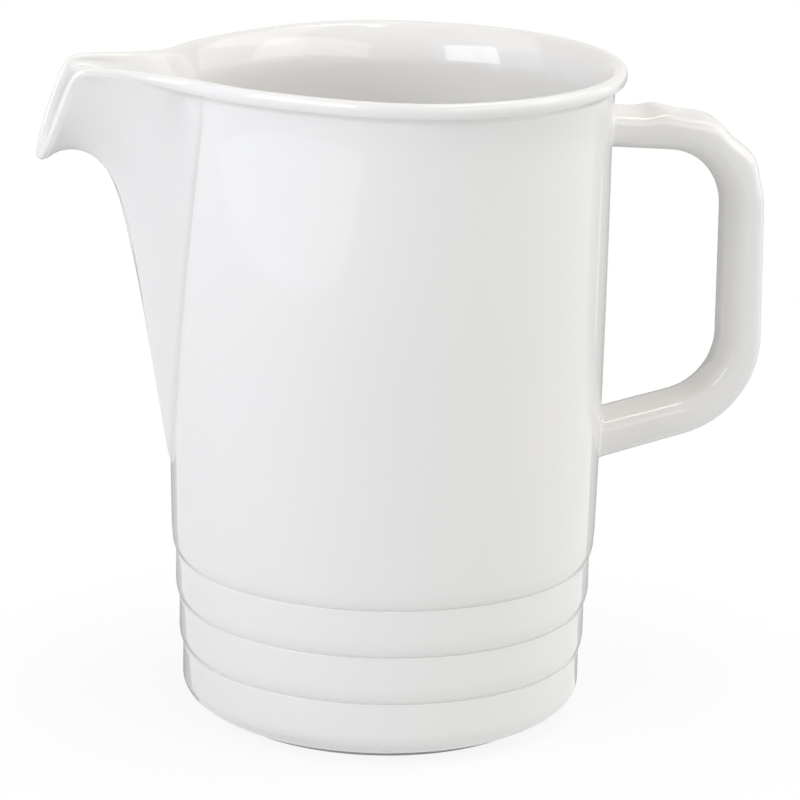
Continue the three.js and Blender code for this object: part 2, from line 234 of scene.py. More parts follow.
def makeGlazedPorcelain():
    # clear gloss glaze on white china: mirror-like window reflections that waver a little
    # where the glaze lies thicker, and a white that is a breath cooler there
    material, tree, shader = startMaterial("glazed_porcelain")
    place = addNode(tree, "ShaderNodeTexCoord")["Object"]
    patch = addNode(tree, "ShaderNodeTexNoise", None,
                    {"Vector": place, "Scale": 1 / (glaze["patchSize"] * mm), "Detail": 2.0})
    tone = addNode(tree, "ShaderNodeMix", {"data_type": "RGBA"},
                   {0: patch[0], 6: hexToLinear(glaze["white"]), 7: hexToLinear(glaze["whiteThick"])})
    low, high = glaze["patchRange"]
    dull = addNode(tree, "ShaderNodeMapRange", None,
                   {0: patch[0], 1: low, 2: high, 3: glaze["gloss"], 4: glaze["glossDull"]})
    wave = addNode(tree, "ShaderNodeTexNoise", None,
                   {"Vector": place, "Scale": 1 / (glaze["waveSize"] * mm), "Detail": 0.0})
    relief = addNode(tree, "ShaderNodeBump", None,
                     {"Strength": 1.0, "Distance": glaze["waveHeight"] * mm, "Height": wave[0]})
    tree.links.new(tone[2], shader.inputs["Base Color"])
    tree.links.new(dull[0], shader.inputs["Roughness"])
    tree.links.new(relief[0], shader.inputs["Normal"])
    shader.inputs["IOR"].default_value = glaze["ior"]
    return material


biscuit = {
    "pale": "#ddd6cb",
    "dark": "#cfc5b7",
    "grainSize": 0.9,
    "grainHeight": 0.04,
    "roughness": 0.78,
}


def makeBareBiscuit():
    # the wiped foot ring without glaze: matt, warmer and finely gritty
    material, tree, shader = startMaterial("bare_biscuit")
    place = addNode(tree, "ShaderNodeTexCoord")["Object"]
    grain = addNode(tree, "ShaderNodeTexNoise", None,
                    {"Vector": place, "Scale": 1 / (biscuit["grainSize"] * mm), "Detail": 3.0})
    tone = addNode(tree, "ShaderNodeMix", {"data_type": "RGBA"},
                   {0: grain[0], 6: hexToLinear(biscuit["pale"]), 7: hexToLinear(biscuit["dark"])})
    relief = addNode(tree, "ShaderNodeBump", None,
                     {"Strength": 1.0, "Distance": biscuit["grainHeight"] * mm, "Height": grain[0]})
    tree.links.new(tone[2], shader.inputs["Base Color"])
    tree.links.new(relief[0], shader.inputs["Normal"])
    shader.inputs["Roughness"].default_value = biscuit["roughness"]
    return material


porcelain = makeGlazedPorcelain()
bareClay = makeBareBiscuit()
print("materials made")

# Body: thrown wall on a stepped foot, opened behind the spout

body = {
    "height": 156.0,
    "wallRadius": 50.0,
    "wallSwell": 1.1,
    "swellEase": 3,
    "topSpread": 0.45,
    "topSpreadDrop": 9.0,
    "wallThickness": 3.6,
    "bandCount": 3,
    "bandPitch": 11.5,
    "bandStep": 0.93,
    "bandRound": 4.5,
    "bandLead": 1.5,
    "bandRing": 0.66,  # a ring on the straight stretch of each band
    "lowestGroove": 15.5,
    "grooveDepth": 0.42,
    "grooveLip": 0.25,
    "grooveFloor": (0.06, 0.16),
    "grooveFlat": 0.02,
    "heelReach": 12.5,
    "heelRise": 7.2,
    "footRadius": 38.6,
    "footHeight": 0.6,
    "footWidth": 4.0,
    "footEdge": 0.5,
    "bareHeight": 0.25,
    "bareMargin": 0.2,
    "baseHollow": 1.4,
    "baseFlat": 3.0,
    "hollowStart": 2.0,
    "hollowShoulder": 0.4,
    "floorThickness": 4.4,
    "floorRound": 9.0,
    "rimFlare": 2.55,
    "rimDrop": 5.0,
    "rimInnerDrop": 11.5,
    "rimEdge": 1.3,
    "rimEdgeInner": 2.2,
    "rimEdgeHigh": 1.9,
    "rimUnderAngle": 50.0,
    "rimInnerAngle": 60.0,
    "mouthLead": 0.54,
    "pinchDepth": 3.2,
    "pinchAngle": 54.0,
    "pinchSpread": 45.0,
    "pinchDrop": 62.0,
    "creaseDepth": 0.55,
    "creaseWidth": 0.4,
    "creaseFade": (0.5, 0.98),  # shares of the seam, from the root up
    "columns": 180,
    "floorRings": 8,
    "hollowSteps": 6,
    "soleSteps": 4,
    "heelSteps": 18,
    "grooveSteps": 5,
    "bandSteps": 9,
    "wallRings": 12,
    "flareSteps": 8,
    "edgeSteps": 16,
    "innerSteps": 9,
    "innerRings": 14,
    "floorRoundSteps": 10,
    "sharpAngle": 38,
}

spout = {
    "rootHeight": 61.0,
    "seamHalfWidth": 19.8,
    "seamFullness": 0.725,
    "seamSteps": 70,
    "keelCrowding": 1.5,  # rows lie closer together at the keel
    "topSteps": 48,
    "crestAngle": 26.0,
    "openingSpread": 2.1,
    "openingEase": 0.6,
    "ridgeRoll": 0.35,
    "rollFade": (0.3, 0.85),
    "keelLineStart": (51.4, 62.0),
    "keelBend": (60.4, 115.0),
    "keelCrest": (74.7, 137.0),
    "keelCrestLead": 6.5,
    "bendCorner": 0.75,
    "keelRound": 5.0,
    "bellyFade": (0.35, 0.75),
    "hollow": 2.8,
    "hollowSkew": 0.7,
    "innerShare": 0.8,
    "rootEase": 4.0,
    "thicknessRoot": 4.0,
    "thickness": 3.2,
    "rootThinning": 0.25,
    "lipThickness": 2.2,
    "lipThinning": 0.7,
    "floorJoin": 0.08,
    "floorLip": 0.85,
    "crestLead": 4.5,
    "crestLine": [(53.0, 15.6, 156.1), (60.0, 12.0, 156.6), (67.5, 9.7, 157.0), (72.6, 8.8, 157.2),
                  (75.0, 8.0, 155.6), (76.8, 7.4, 151.5), (78.8, 7.35, 146.0), (80.6, 6.2, 140.6),
                  (81.9, 3.8, 136.6), (82.2, 1.6, 135.2), (82.2, 0.0, 135.2)],
    "cornerAt": 0.52,
    "tipDirection": (0.9, 0.0, -0.35),
    "tipTurn": 0.75,
    "lipEdge": 1.0,
    "lipDrop": 1.8,
    "lipInnerDrop": 2.0,
    "lipUnderAngle": 4.0,
    "lipInnerAngle": 4.0,
    "flareFade": (0.06, 0.52),
    "reachFade": (0.0, 0.42),
    "slopeCells": 6,
    "topGrip": 8,
    "joinLength": 0.22,
    "keelSteps": 60,
    "bendSteps": 40,
    "droopSteps": 16,
    "crestSteps": 600,
    "sharpAngle": 38,
}

rimWall = body["wallRadius"] + body["wallSwell"] + body["topSpread"]
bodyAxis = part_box("body")[1].x / mm - (rimWall + body["rimFlare"])
wallTop = body["height"] - body["rimDrop"]
wallFoot = body["lowestGroove"] + (body["bandCount"] - 1) * body["bandPitch"]
lowestRadius = body["wallRadius"] - body["bandCount"] * body["bandStep"]
innerTop = body["height"] - body["rimInnerDrop"]
floorHeight = body["baseHollow"] + body["floorThickness"]
footInner = body["footRadius"] - body["footWidth"]
edgeCentre = (rimWall + body["rimFlare"] - body["rimEdge"], body["height"] - body["rimEdgeHigh"])


def wallOuter(z):
    share = np.clip((np.asarray(z, float) - wallFoot) / (wallTop - wallFoot), 0, 1)
    swell = body["wallSwell"] * (1 - (1 - share) ** body["swellEase"])
    high = np.clip((np.asarray(z, float) - wallTop) / body["topSpreadDrop"] + 1, 0, 1)
    return body["wallRadius"] + swell + body["topSpread"] * high ** 2


def wallInner(z):
    return wallOuter(z) - body["wallThickness"]


def pinched(theta, z):
    # the wall is drawn in on either side of the spout, more towards the rim
    high = ease(z, body["height"] - body["pinchDrop"], body["height"])
    offset = np.clip((np.abs(np.degrees(theta)) - body["pinchAngle"]) / body["pinchSpread"], -1, 1)
    return 1 - body["pinchDepth"] / body["wallRadius"] * high * (1 + np.cos(np.pi * offset)) / 2


def ringPoint(radius, z, theta):
    reach = radius * pinched(theta, z)
    return np.stack(np.broadcast_arrays(reach * np.cos(theta), reach * np.sin(theta), z), axis=-1)


def arcPoints(centre, radii, startAngle, endAngle, steps):
    angle = np.radians(np.linspace(startAngle, endAngle, steps + 1))
    return np.column_stack([centre[0] + radii[0] * np.cos(angle), centre[1] + radii[1] * np.sin(angle)])


def footProfile():
    edge = body["footEdge"]
    hollowTop = body["baseHollow"]
    flat = np.linspace(0, footInner - body["baseFlat"], body["floorRings"])
    base = np.column_stack([flat, np.full_like(flat, hollowTop)])
    hollow = bezier([(footInner - body["hollowStart"], hollowTop),
                     (footInner - body["hollowShoulder"], hollowTop),
                     (footInner + edge, 0)], body["hollowSteps"])
    sole = bezier([(body["footRadius"] - edge, 0), (body["footRadius"], 0), (body["footRadius"], edge)],
                  body["soleSteps"])
    heelCentre = (lowestRadius - body["heelReach"], body["footHeight"] + body["heelRise"])
    start = -math.degrees(math.acos((body["footRadius"] - heelCentre[0]) / body["heelReach"]))
    heel = arcPoints(heelCentre, (body["heelReach"], body["heelRise"]), start, 0, body["heelSteps"])
    return np.concatenate([base, hollow, sole, heel])


def bandProfile():
    # each band ends in a narrow groove, and the next one rounds out over it
    low, high = body["grooveFloor"]
    rows = []
    for band in range(body["bandCount"]):
        groove = body["lowestGroove"] + band * body["bandPitch"]
        below = lowestRadius + band * body["bandStep"]
        above = below + body["bandStep"]
        valley = below - body["grooveDepth"]
        rows.append([(below, blend(groove - body["bandPitch"], groove, body["bandRing"]))])
        rows.append(bezier([(below, groove - body["grooveLip"]), (below, groove), (valley, groove + low)],
                           body["grooveSteps"]))
        rows.append(bezier([(valley + body["grooveFlat"], groove + high),
                            (above, groove + body["bandLead"]),
                            (above, groove + body["bandRound"])], body["bandSteps"]))
    return np.concatenate(rows)


def rimProfile():
    edge = arcPoints(edgeCentre, (body["rimEdge"], body["rimEdgeHigh"]), -body["rimUnderAngle"],
                     90 + body["rimInnerAngle"], body["edgeSteps"])
    reach = edge[:, 0] - edgeCentre[0]
    wider = body["rimEdgeInner"] / body["rimEdge"]
    edge[:, 0] = edgeCentre[0] + np.where(reach < 0, reach * wider, reach)
    flare = bezier([(rimWall, wallTop), (rimWall, (wallTop + edge[0, 1]) / 2), edge[0]],
                   body["flareSteps"])
    innerWall = float(wallInner(innerTop))
    lead = blend(innerTop, edge[-1, 1], body["mouthLead"])
    mouth = bezier([edge[-1], (innerWall, lead), (innerWall, innerTop)], body["innerSteps"])
    return np.concatenate([flare, edge[1:], mouth[1:]])


def floorProfile():
    corner = (wallInner(floorHeight) - body["floorRound"], floorHeight + body["floorRound"])
    wall = np.linspace(spout["rootHeight"], corner[1], body["innerRings"])[1:-1]
    rounding = arcPoints(corner, (body["floorRound"], body["floorRound"]), 0, -90,
                         body["floorRoundSteps"])
    flat = np.linspace(corner[0], 0, body["floorRings"])[1:]
    floor = np.column_stack([flat, np.full_like(flat, floorHeight)])
    return np.concatenate([np.column_stack([wallInner(wall), wall]), rounding, floor])


# The lines that body and spout share: the seam outside, the opening inside, the end of the rim

seamShare = np.linspace(0, 1, spout["seamSteps"] + 1) ** spout["keelCrowding"]
seamHeight = blend(spout["rootHeight"], wallTop, seamShare)
openHeight = blend(spout["rootHeight"], innerTop, seamShare)
seamRise = (seamHeight - spout["rootHeight"]) / (body["height"] - spout["rootHeight"])
seamBow = 2 * seamRise * (1 - seamRise) * spout["seamFullness"] + seamRise ** 2
seamHalf = spout["seamHalfWidth"] * seamBow
seamTheta = np.arcsin(seamHalf / wallOuter(seamHeight))
openTheta = np.arcsin((seamHalf * wallInner(openHeight) / wallOuter(seamHeight)
                       + spout["openingSpread"] * ease(seamShare, 0, spout["openingEase"]))
                      / wallInner(openHeight))
seamSink = body["creaseDepth"] * riseAndFall(seamShare, *body["creaseFade"])
seamLine = ringPoint(wallOuter(seamHeight), seamHeight, seamTheta)
seamPoints = ringPoint(wallOuter(seamHeight) - seamSink, seamHeight, seamTheta)
openPoints = ringPoint(wallInner(openHeight), openHeight, openTheta)

rim = rimProfile()
flareShare = np.linspace(0, 1, body["flareSteps"] + 1)
mouthShare = np.linspace(0, 1, body["innerSteps"] + 1)
crestTheta = math.radians(spout["crestAngle"])
rimTheta = np.concatenate([
    blend(seamTheta[-1], crestTheta, ease(flareShare, 0, 1)),
    np.full(body["edgeSteps"] - 1, crestTheta),
    blend(crestTheta, openTheta[-1], ease(mouthShare, 0, 1)),
])
rimEnd = ringPoint(rim[:, 0], rim[:, 1], rimTheta)


def buildBody():
    lower = np.concatenate([footProfile(), bandProfile()])
    plainWall = np.linspace(lower[-1, 1], spout["rootHeight"], body["wallRings"])[1:-1]
    lower = np.concatenate([lower, np.column_stack([wallOuter(plainWall), plainWall])])
    outer = np.column_stack([wallOuter(seamHeight), seamHeight])
    inner = np.column_stack([wallInner(openHeight), openHeight])[::-1]
    floor = floorProfile()
    profile = np.concatenate([lower, outer[:-1], rim, inner[1:], floor])

    # the rings start and end at the spout's opening, with a narrow strip for the crease
    begin = np.concatenate([np.zeros(len(lower)), seamTheta[:-1], rimTheta, openTheta[::-1][1:],
                            np.zeros(len(floor))])
    narrow = body["creaseWidth"] / (2 * np.pi * body["wallRadius"])
    turn = np.linspace(0, 1, body["columns"] + 1)
    turn = np.concatenate([[0, narrow], turn[1:-1], [1 - narrow, 1]])
    columns = len(turn)
    theta = begin[:, None] + (2 * np.pi - 2 * begin[:, None]) * turn[None, :]
    around = np.where(theta > np.pi, theta - 2 * np.pi, theta)
    points = ringPoint(profile[:, 0:1], profile[:, 1:2], around)
    firstOuter = len(lower)
    firstRim = firstOuter + len(outer) - 1
    lastRim = firstRim + len(rim) - 1
    points[firstOuter:firstRim, 0] = seamPoints[:-1]
    points[firstOuter:firstRim, -1] = seamPoints[:-1] * mirrorAcross

    # skin, then the cut faces of the opening and of the rim
    faces = gridFaces(0, len(profile), columns)
    for column in (0, columns - 1):
        for step in range(spout["seamSteps"]):
            out = firstOuter + step
            back = lastRim + spout["seamSteps"] - step
            faces.append(tuple(row * columns + column for row in (out, out + 1, back - 1, back)))
        faces += capFaces([row * columns + column for row in range(firstRim, lastRim + 1)])
    piece = addPiece("jug_body", points, faces, porcelain, body["sharpAngle"])
    piece.data.materials.append(bareClay)
    for face in piece.data.polygons:
        reach = math.hypot(face.center.x / mm - bodyAxis, face.center.y / mm)
        underFoot = footInner - body["bareMargin"] < reach < body["footRadius"]
        if underFoot and face.center.z < body["bareHeight"] * mm:
            face.material_index = 1
    return piece


bodyPiece = buildBody()
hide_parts("body")

# Spout: a patch from the keel to the top edge and from the seam to the lip, inside and out

acrossShare = np.linspace(0, 1, spout["topSteps"] + 1)
keelBelly = np.outer(riseAndFall(acrossShare, *spout["bellyFade"]),
                     spout["keelRound"] * np.sqrt(seamShare) * (1 - seamShare) ** 2)
flankHollow = np.outer(4 * acrossShare * (1 - acrossShare),
                       spout["hollow"] * np.sin(np.pi * seamShare ** spout["hollowSkew"]))


def keelLine(tip):
    # the straight keel eases out of the wall, bends to a level crest and droops to the tip
    start, bendAt, crest = (np.array(spout[key]) for key in ("keelLineStart", "keelBend", "keelCrest"))
    slope = (bendAt - start) / (bendAt[1] - start[1])
    rise = np.linspace(spout["rootHeight"], bendAt[1], spout["keelSteps"])
    wall = wallOuter(rise)
    proud = start[0] + slope[0] * (rise - start[1]) - wall
    proud = proud * ease(rise - spout["rootHeight"], -spout["rootEase"], spout["rootEase"])
    proud[0] = 0
    lead = np.array([spout["keelCrestLead"], 0.0])
    corner = bendAt + slope * (crest[1] - bendAt[1]) * spout["bendCorner"]
    rounded = bezier([bendAt, corner, crest - lead, crest], spout["bendSteps"])
    droop = bezier([crest, crest + lead / 2, tip], spout["droopSteps"])
    return np.concatenate([np.column_stack([wall + proud, rise]), rounded[1:], droop[1:]])


def crestCurve():
    # one smooth line along the rim's edge, the top edge of the spout, its corner, the lip and the tip
    littleTurn = 0.01
    atEdge = ringPoint(edgeCentre[0], body["height"], np.array([crestTheta, crestTheta - littleTurn]))
    run = unit(atEdge[1] - atEdge[0])
    controls = np.concatenate([[atEdge[0], atEdge[0] + run * spout["crestLead"]], spout["crestLine"]])
    top = np.linspace(0, spout["cornerAt"], spout["topSteps"] + 1)
    lip = blend(1, spout["cornerAt"], seamShare[::-1])
    share = np.concatenate([top, lip[1:]])
    curve = alongPath(spline(controls, spout["crestSteps"]), share)
    tangent = unit(np.gradient(curve, axis=0))
    tangent[0] = run
    tangent[-1] = -lateral
    return curve, tangent, share


def edgeFrame(tangent, share):
    # up points out of the wall's edge, out points away from the channel
    leastRun = 0.02
    lift = unit(np.column_stack([-tangent[:, 2], 0 * share, np.maximum(tangent[:, 0], leastRun)]))
    turn = (ease(share, spout["tipTurn"], 1.0) * tangent[:, 1] ** 2)[:, None]
    lift = unit(blend(lift, unit(np.array(spout["tipDirection"]))[None, :], turn))
    out = unit(np.cross(lift, tangent))
    return np.cross(tangent, out), out


def edgeSizes(share):
    # the flare of the rim dies away along the top edge into a plain rounded lip
    fade = ease(share, *spout["flareFade"])[:, None]
    inward = ease(share, *spout["reachFade"])[:, None]
    rimReach = edgeCentre[0] - rimWall
    lipReach = spout["lipThickness"] - spout["lipEdge"]
    return {
        "edge": blend(body["rimEdge"], spout["lipEdge"], fade),
        "edgeHigh": blend(body["rimEdgeHigh"], spout["lipEdge"], fade),
        "edgeInner": blend(body["rimEdgeInner"], spout["lipEdge"], fade),
        "drop": blend(body["rimDrop"], spout["lipDrop"], fade),
        "innerDrop": blend(body["rimInnerDrop"], spout["lipInnerDrop"], fade),
        "overhang": blend(rimReach, -spout["lipEdge"], inward),
        "innerReach": blend(rimReach + body["wallThickness"], lipReach, fade),
        "underAngle": np.radians(blend(body["rimUnderAngle"], spout["lipUnderAngle"], fade)),
        "innerAngle": np.radians(blend(body["rimInnerAngle"], 90 - spout["lipInnerAngle"], fade)),
    }


def edgeBead(crest, up, out, sizes):
    # the rounded edge along the crest, wider towards the inside
    sweep = np.linspace(0, 1, body["edgeSteps"] + 1)[None, :, None]
    angle = blend(-sizes["underAngle"][:, None, :], np.pi / 2 + sizes["innerAngle"][:, None, :], sweep)
    wide = np.where(np.cos(angle) < 0, sizes["edgeInner"][:, None, :], sizes["edge"][:, None, :])
    high = sizes["edgeHigh"][:, None, :]
    centre = (crest - up * sizes["edgeHigh"])[:, None, :]
    return centre + wide * np.cos(angle) * out[:, None, :] + high * np.sin(angle) * up[:, None, :]


def coonsPatch(seamSide, lipSide, keelSide, topSide, topGrip):
    # columns run from the seam to the lip, rows from the keel up to the top edge; the bends of the
    # top edge die away below it, the faster the larger topGrip
    across = acrossShare[:, None, None]
    upward = seamShare[None, :, None]
    keelBow = keelSide[:, None] - blend(keelSide[0], keelSide[-1], across)
    topBow = topSide[:, None] - blend(topSide[0], topSide[-1], across)
    ruled = blend(seamSide[None], lipSide[None], across)
    return ruled + keelBow * (1 - upward) + topBow * upward ** topGrip


def leaving(patch, tangent, up):
    # directions in which the patch runs out over its top edge and its lip, square to the edge;
    # its slope is read a few cells inside, where the rounded corner doesn't squeeze the cells
    inside = spout["slopeCells"]
    facing = unit(np.cross(np.gradient(patch, axis=0), np.gradient(patch, axis=1)))
    columns, rows = patch.shape[:2]
    top = facing[np.minimum(np.arange(columns), columns - 1 - inside), rows - 1 - inside]
    lip = facing[columns - 1 - inside, np.minimum(np.arange(rows), rows - 1 - inside)][::-1]
    ahead = unit(np.cross(np.concatenate([top, lip[1:]]), tangent))
    return ahead * np.sign(np.sum(ahead * up, axis=1, keepdims=True))


def shapeOuterSkin(keelPath, foot):
    # round along the keel, hollow in the flank, sunk into the crease along the seam
    top = spout["topSteps"]
    outer = coonsPatch(seamLine, foot[top:][::-1], onMidPlane(keelPath), foot[:top + 1],
                       spout["topGrip"])
    outer[:, :, 1] += keelBelly - flankHollow
    outer[0] = seamPoints
    return outer


def shapeInnerSkin(keelPath, foot):
    # the channel: its floor lies a wall's thickness over the keel
    top = spout["topSteps"]
    heading = unit(np.gradient(keelPath, axis=0))
    atRoot = 1 - ease(acrossShare, 0, spout["rootThinning"])
    atLip = ease(acrossShare, spout["lipThinning"], 1.0)
    thick = (spout["thickness"] + (spout["thicknessRoot"] - spout["thickness"]) * atRoot
             + (spout["lipThickness"] - spout["thickness"]) * atLip)
    upward = np.column_stack([-heading[:, 1], heading[:, 0]])
    floor = onMidPlane(keelPath + upward * thick[:, None])
    floor = floor + (openPoints[0] - floor[0]) * (1 - ease(acrossShare, 0, spout["floorJoin"]))[:, None]
    floor = floor + (foot[-1] - floor[-1]) * ease(acrossShare, spout["floorLip"], 1.0)[:, None]
    inner = coonsPatch(openPoints, foot[top:][::-1], floor, foot[:top + 1], 1)
    inner[:, :, 1] += spout["innerShare"] * (keelBelly - flankHollow)

    # it rolls over a soft ridge out of the inner wall
    step = inner[1] - inner[0]
    along = np.column_stack([np.sin(openTheta), -np.cos(openTheta), 0 * openTheta])
    along = along * np.linalg.norm(step, axis=1, keepdims=True) - step
    along = along * riseAndFall(seamShare, *spout["rollFade"])[:, None]
    roll = acrossShare * top * np.clip(1 - acrossShare / spout["ridgeRoll"], 0, 1) ** 2
    return inner + roll[:, None, None] * along[None]


def shapeSpout():
    crest, tangent, share = crestCurve()
    up, out = edgeFrame(tangent, share)
    sizes = edgeSizes(share)
    join = (1 - ease(share, 0, spout["joinLength"]))[:, None]
    outerFoot = crest - up * sizes["drop"] - out * sizes["overhang"]
    innerFoot = crest - up * sizes["innerDrop"] - out * sizes["innerReach"]
    outerFoot = outerFoot + (rimEnd[0] - outerFoot[0]) * join
    innerFoot = innerFoot + (rimEnd[-1] - innerFoot[0]) * join
    outerFoot[-1, 1] = 0
    innerFoot[-1, 1] = 0
    keelPath = alongPath(keelLine(outerFoot[-1][[0, 2]]), acrossShare)
    outer = shapeOuterSkin(keelPath, outerFoot)
    inner = shapeInnerSkin(keelPath, innerFoot)

    # edge strip: up the flare, round the edge, down the inside
    bead = edgeBead(crest, up, out, sizes)
    flareRise = (sizes["drop"] - sizes["edgeHigh"]) / 2
    mouthRise = (sizes["innerDrop"] - sizes["edgeHigh"]) * body["mouthLead"]
    outerLead = outerFoot + leaving(outer, tangent, up) * flareRise
    innerLead = innerFoot + leaving(inner, tangent, up) * mouthRise
    flare = np.moveaxis(bezier([outerFoot, outerLead, bead[:, 0]], body["flareSteps"]), 0, 1)
    mouth = np.moveaxis(bezier([bead[:, -1], innerLead, innerFoot], body["innerSteps"]), 0, 1)
    strip = np.concatenate([flare, bead[:, 1:], mouth[:, 1:]], axis=1)
    strip = strip + (rimEnd - strip[0])[None, :, :] * join[:, None]
    strip[:, 0] = outerFoot
    strip[:, -1] = innerFoot
    strip[-1, :, 1] = 0
    return outer, inner, strip


def buildSpout(outer, inner, strip):
    points = []
    faces = []
    offset = 0
    for side in (1, mirrorAcross):
        starts = []
        for stack in (outer, inner, strip):
            starts.append(offset)
            points.append((stack * side).reshape(-1, 3))
            faces += gridFaces(offset, *stack.shape[:2])
            offset += stack.shape[0] * stack.shape[1]
        for row in range(spout["seamSteps"]):
            a = starts[0] + row
            b = starts[1] + row
            faces.append((a, a + 1, b + 1, b))
        faces += capFaces([starts[2] + k for k in range(strip.shape[1])])
    return addPiece("pouring_spout", np.concatenate(points), faces, porcelain, spout["sharpAngle"])


outerSkin, innerSkin, edgeStrip = shapeSpout()
spoutPiece = buildSpout(outerSkin, innerSkin, edgeStrip)
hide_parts("spout")

# Slip seam: the soft bead of slip in the crease between spout and wall

seam = {
    "leg": 0.2,
    "leastLeg": 0.02,
    "sink": 0.35,
    "leastSink": 0.1,
    "taper": (0.06, 0.94),
    "apart": 0.01,
    "steps": 6,
    "sharpAngle": 60,
}


def buildSeam():
    count = len(seamPoints)
    taper = riseAndFall(seamShare, *seam["taper"])[:, None]
    legShare = blend(seam["leastLeg"], 1, taper)
    sinkShare = blend(seam["leastSink"], 1, taper)
    angle = seam["leg"] / wallOuter(seamHeight)
    depth = seamSink * (1 - seam["leg"] / body["creaseWidth"])
    onWall = ringPoint(wallOuter(seamHeight) - depth, seamHeight, seamTheta + angle)
    onWall = blend(seamPoints, onWall, legShare)
    flank = np.array([pointsAt(outerSkin[:, row], seam["leg"]) for row in range(count)])
    flank = blend(seamPoints, flank, legShare)
    radial = np.column_stack([np.cos(seamTheta), np.sin(seamTheta), 0 * seamTheta])
    root = seamPoints - radial * seam["sink"] * sinkShare
    face = np.moveaxis(bezier([onWall, seamPoints, flank], seam["steps"]), 0, 1)
    loop = np.concatenate([face, root[:, None, :], onWall[:, None, :]], axis=1)
    loop[..., 1] = np.maximum(loop[..., 1], seam["apart"])
    sides = loop.shape[1]
    points = np.concatenate([(loop * side).reshape(-1, 3) for side in (1, mirrorAcross)])
    faces = []
    for start in (0, count * sides):
        faces += gridFaces(start, count, sides)
        faces.append(tuple(start + k for k in range(sides - 1)))
        faces.append(tuple(start + (count - 1) * sides + k for k in range(sides - 1)))
    return addPiece("spout_seam", points, faces, porcelain, seam["sharpAngle"])


seamPiece = buildSeam()
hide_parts("spout_slip_seam")

# Handle: a strap swept along a rounded path, with scalloped thumb ridges on top

strap = {
    "topDrop": 16.4,
    "topFall": 2.2,
    "reach": 33.4,
    "lean": 0.9,
    "lowDrop": 90.8,
    "lowRise": 8.4,
    "rootDepth": 2.2,
    "upperBend": 19.6,
    "lowerBend": 19.0,
    "widthTop": 16.0,
    "widthLow": 14.2,
    "thickTop": 9.1,
    "thickLow": 10.8,
    "thickEase": 2.0,
    "squareOut": 3.4,
    "squareIn": 2.3,
    "ridgeCount": 3,
    "ridgePitch": 11.0,
    "ridgeHeight": 0.95,
    "ridgeStart": 12.0,
    "bendSteps": 40,
    "sides": 96,
    "rows": 220,
    "sharpAngle": 50,
}
strapLengths = ("upperBend", "lowerBend", "widthTop", "widthLow", "thickTop", "thickLow",
                "ridgePitch", "ridgeHeight", "ridgeStart")
strapNumbers = ("thickEase", "squareOut", "squareIn", "ridgeCount")


def strapCorners():
    upper = body["height"] - strap["topDrop"]
    lower = body["height"] - strap["lowDrop"]
    back = float(wallOuter(upper)) + strap["reach"]
    upperRoot = np.array([float(wallOuter(upper)), upper])
    lowerRoot = np.array([float(wallOuter(lower)), lower])
    upperCorner = np.array([back, upper - strap["topFall"]])
    lowerCorner = np.array([back + strap["lean"], lower + strap["lowRise"]])
    return upperRoot, upperCorner, lowerCorner, lowerRoot


def strapPath(tree, given):
    # the four corner points, rounded with a radius of their own
    line = addNode(tree, "GeometryNodeMeshToCurve", None, {0: given["Geometry"]})[0]
    corner = addNode(tree, "GeometryNodeInputIndex")[0]
    isLower = addNode(tree, sums, greater, {0: corner, 1: 1.5})[0]  # corners 2 and 3
    growth = addNode(tree, sums, take, {0: given["lowerBend"], 1: given["upperBend"]})[0]
    radius = addNode(tree, sums, timesAdd, {0: isLower, 1: growth, 2: given["upperBend"]})[0]
    return addNode(tree, "GeometryNodeFilletCurve", {"mode": "POLY"},
                   {"Curve": line, "Count": strap["bendSteps"], "Radius": radius,
                    "Limit Radius": True})[0]


def strapGrid(tree):
    # rows along the path and sides round the section, closed by a collapsed row at either end
    last = strap["rows"] - 1.0
    skin = addNode(tree, "GeometryNodeMeshGrid", None,
                   {"Size X": 1.0, "Size Y": 1.0, "Vertices X": strap["rows"],
                    "Vertices Y": strap["sides"] + 1})[0]
    flat = addNode(tree, "GeometryNodeInputPosition")[0]
    where = addNode(tree, "ShaderNodeSeparateXYZ", None, {0: flat})
    row = addNode(tree, "ShaderNodeMapRange", None, {0: where["X"], 1: -0.5, 2: 0.5, 3: 0.0, 4: last})[0]
    angle = addNode(tree, "ShaderNodeMapRange", None,
                    {0: where["Y"], 1: -0.5, 2: 0.5, 3: 0.0, 4: 2 * math.pi})[0]
    along = addNode(tree, "ShaderNodeMapRange", None, {0: row, 1: 1.0, 2: last - 1})[0]
    afterFirst = addNode(tree, sums, greater, {0: row, 1: 0.5})[0]
    beforeLast = addNode(tree, sums, lesser, {0: row, 1: last - 0.5})[0]
    inside = addNode(tree, sums, times, {0: afterFirst, 1: beforeLast})[0]
    return skin, angle, along, inside


def strapSection(tree, given, angle):
    # a superellipse from -1 to 1, high and wide, that is rounder on the finger side
    swing = addNode(tree, sums, sine, {0: angle})[0]
    sway = addNode(tree, sums, cosine, {0: angle})[0]
    isOut = addNode(tree, sums, greater, {0: swing, 1: 0.0})[0]
    squarer = addNode(tree, sums, take, {0: given["squareOut"], 1: given["squareIn"]})[0]
    square = addNode(tree, sums, timesAdd, {0: isOut, 1: squarer, 2: given["squareIn"]})[0]
    bulge = addNode(tree, sums, divide, {0: 2.0, 1: square})[0]
    shares = []
    for wave in (swing, sway):
        size = addNode(tree, sums, absolute, {0: wave})[0]
        bulged = addNode(tree, sums, power, {0: size, 1: bulge})[0]
        sign = addNode(tree, sums, signOf, {0: wave})[0]
        shares.append(addNode(tree, sums, times, {0: sign, 1: bulged})[0])
    return shares


